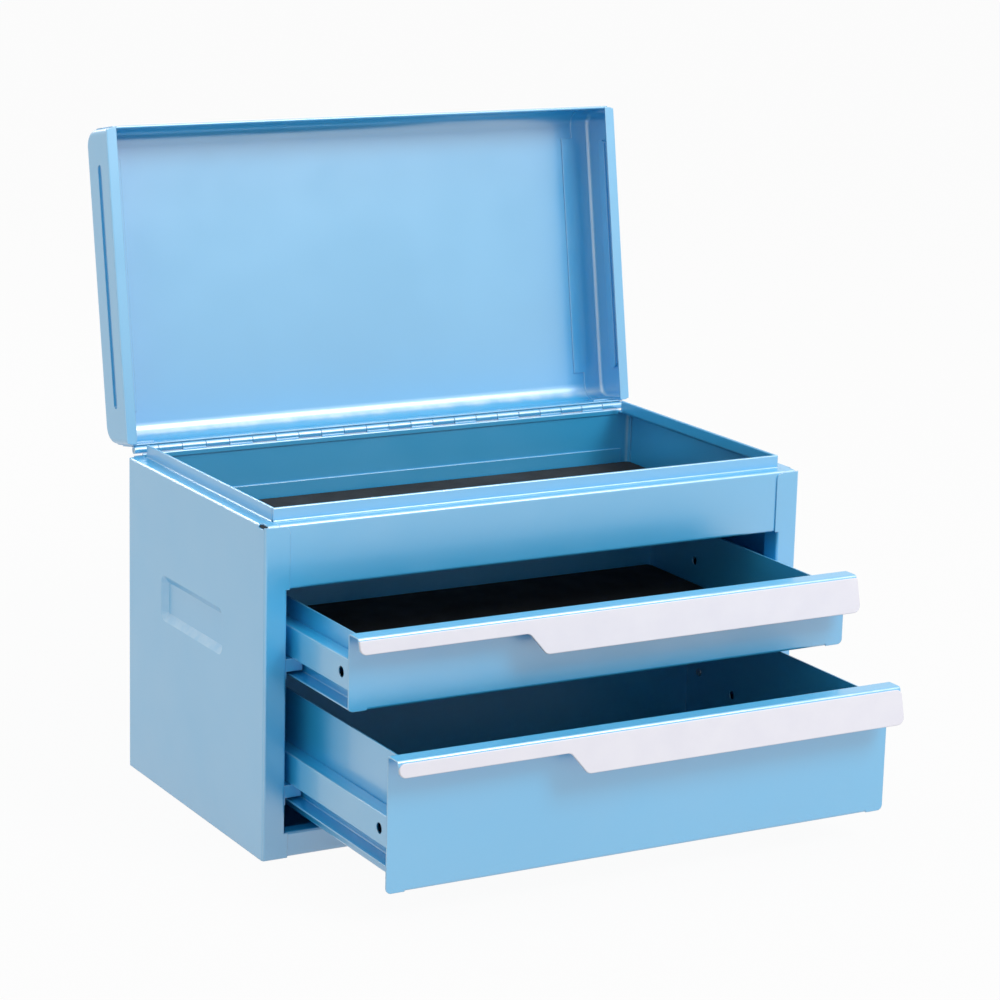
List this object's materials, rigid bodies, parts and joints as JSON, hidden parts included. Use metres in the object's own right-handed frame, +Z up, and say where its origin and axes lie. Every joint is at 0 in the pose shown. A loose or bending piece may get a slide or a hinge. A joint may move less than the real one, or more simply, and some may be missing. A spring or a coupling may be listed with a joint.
{
  "type": "portable tool box with drawers",
  "caption": "Sheet-steel tool box with a hinged hollow lid over a lined top well and two drawers with turned-over white finger pulls on side runners.",
  "frame": {"origin": "centre of the underside of the cabinet, on the surface the box stands on", "axes": "+Z up, the front with the drawer pulls faces -Y, +X is the right-hand side seen from the front"},
  "size_m": [0.34, 0.375, 0.3719],
  "materials": {
    "blue_paint": "satin powder coat",
    "pull_white": "satin powder coat",
    "mat": "matte foam",
    "steel": "zinc plated"
  },
  "bodies": {
    "cabinet": {"side_panel_left": "blue_paint", "side_panel_right": "blue_paint", "back_panel": "blue_paint", "base_pan": "blue_paint", "front_fascia": "blue_paint", "tray_floor": "blue_paint", "tray_liner": "mat", "runner_top_left": "blue_paint", "runner_top_right": "blue_paint", "runner_bottom_left": "blue_paint", "runner_bottom_right": "blue_paint", "runner_rivets": "steel", "hinge_leaf_body": "blue_paint", "hinge_pin": "steel"},
    "lid": {"lid_wrap": "blue_paint", "lid_end_left": "blue_paint", "lid_end_right": "blue_paint", "hinge_leaf_lid": "blue_paint", "hinge_rivets_lid": "steel"},
    "drawer_top": {"drawer_top_front": "blue_paint", "drawer_top_pull": "pull_white", "drawer_top_pan": "blue_paint", "drawer_top_rail_left": "blue_paint", "drawer_top_rail_right": "blue_paint", "drawer_top_rivets": "steel", "drawer_top_liner": "mat"},
    "drawer_bottom": {"drawer_bottom_front": "blue_paint", "drawer_bottom_pull": "pull_white", "drawer_bottom_pan": "blue_paint", "drawer_bottom_rail_left": "blue_paint", "drawer_bottom_rail_right": "blue_paint", "drawer_bottom_rivets": "steel", "drawer_bottom_liner": "mat"}
  },
  "joints": [
    {"name": "lid_hinge", "type": "hinge", "parent": "cabinet", "child": "lid", "pos_m": [0, 0.0938, 0.1883], "axis": [-1, 0, 0], "range_deg": [-99.6, 0]},
    {"name": "drawer_top_slide", "type": "slide", "parent": "cabinet", "child": "drawer_top", "axis": [0, -1, 0], "range_m": [-0.0691, 0.0629]},
    {"name": "drawer_bottom_slide", "type": "slide", "parent": "cabinet", "child": "drawer_bottom", "axis": [0, -1, 0], "range_m": [-0.1139, 0.0181]}
  ]
}
